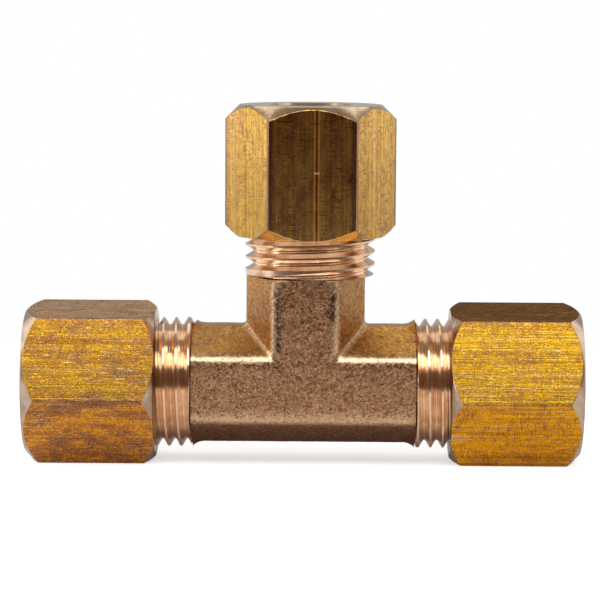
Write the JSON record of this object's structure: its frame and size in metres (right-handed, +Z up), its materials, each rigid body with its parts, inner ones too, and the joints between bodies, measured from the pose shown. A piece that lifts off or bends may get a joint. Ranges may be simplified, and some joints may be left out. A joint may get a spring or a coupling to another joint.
{
  "type": "compression tee fitting",
  "caption": "Brass compression tee for small tube: a forged tee body with three threaded arms, a hexagon nut on each arm and a loose ferrule inside each nut.",
  "frame": {"origin": "middle of the flat parting-line land on the underside of the body, straight below the branch axis; the tube axes cross 5.08 mm above it", "axes": "+X along the run towards the right-hand nut, +Y towards the back, +Z up along the branch"},
  "size_m": [0.0477, 0.0146, 0.0307],
  "materials": {
    "forged_brass": "pickled forging, matt and finely pitted, with bright cut threads",
    "drawn_brass": "drawn hexagon bar with fine lengthwise lines and light tarnish, turned chamfers",
    "turned_brass": "bright turned"
  },
  "bodies": {
    "tee": {"tee_body": "forged_brass"},
    "left_sleeve": {"left_ferrule": "turned_brass"},
    "left_hex": {"left_nut": "drawn_brass"},
    "right_sleeve": {"right_ferrule": "turned_brass"},
    "right_hex": {"right_nut": "drawn_brass"},
    "top_sleeve": {"top_ferrule": "turned_brass"},
    "top_hex": {"top_nut": "drawn_brass"}
  },
  "joints": [
    {"name": "left_nut_travel", "type": "slide", "parent": "tee", "child": "left_sleeve", "axis": [-1, 0, 0], "range_m": [-0.00248, 0.00392]},
    {"name": "left_nut_spin", "type": "hinge", "parent": "left_sleeve", "child": "left_hex", "pos_m": [-0.0188, 0, 0.00508], "axis": [-1, 0, 0], "range_deg": [-843, 1333]},
    {"name": "right_nut_travel", "type": "slide", "parent": "tee", "child": "right_sleeve", "axis": [1, 0, 0], "range_m": [-0.00135, 0.00505]},
    {"name": "right_nut_spin", "type": "hinge", "parent": "right_sleeve", "child": "right_hex", "pos_m": [0.0177, 0, 0.00508], "axis": [1, 0, 0], "range_deg": [-460, 1716]},
    {"name": "top_nut_travel", "type": "slide", "parent": "tee", "child": "top_sleeve", "axis": [0, 0, 1], "range_m": [-0.00201, 0.00439]},
    {"name": "top_nut_spin", "type": "hinge", "parent": "top_sleeve", "child": "top_hex", "pos_m": [0, 0, 0.0234], "axis": [0, 0, 1], "range_deg": [-684, 1492]}
  ],
  "couplings": [
    {"joint": "left_nut_travel", "follows": "left_nut_spin", "m_per_rad": 0.00016844},
    {"joint": "right_nut_travel", "follows": "right_nut_spin", "m_per_rad": 0.00016844},
    {"joint": "top_nut_travel", "follows": "top_nut_spin", "m_per_rad": 0.00016844}
  ]
}
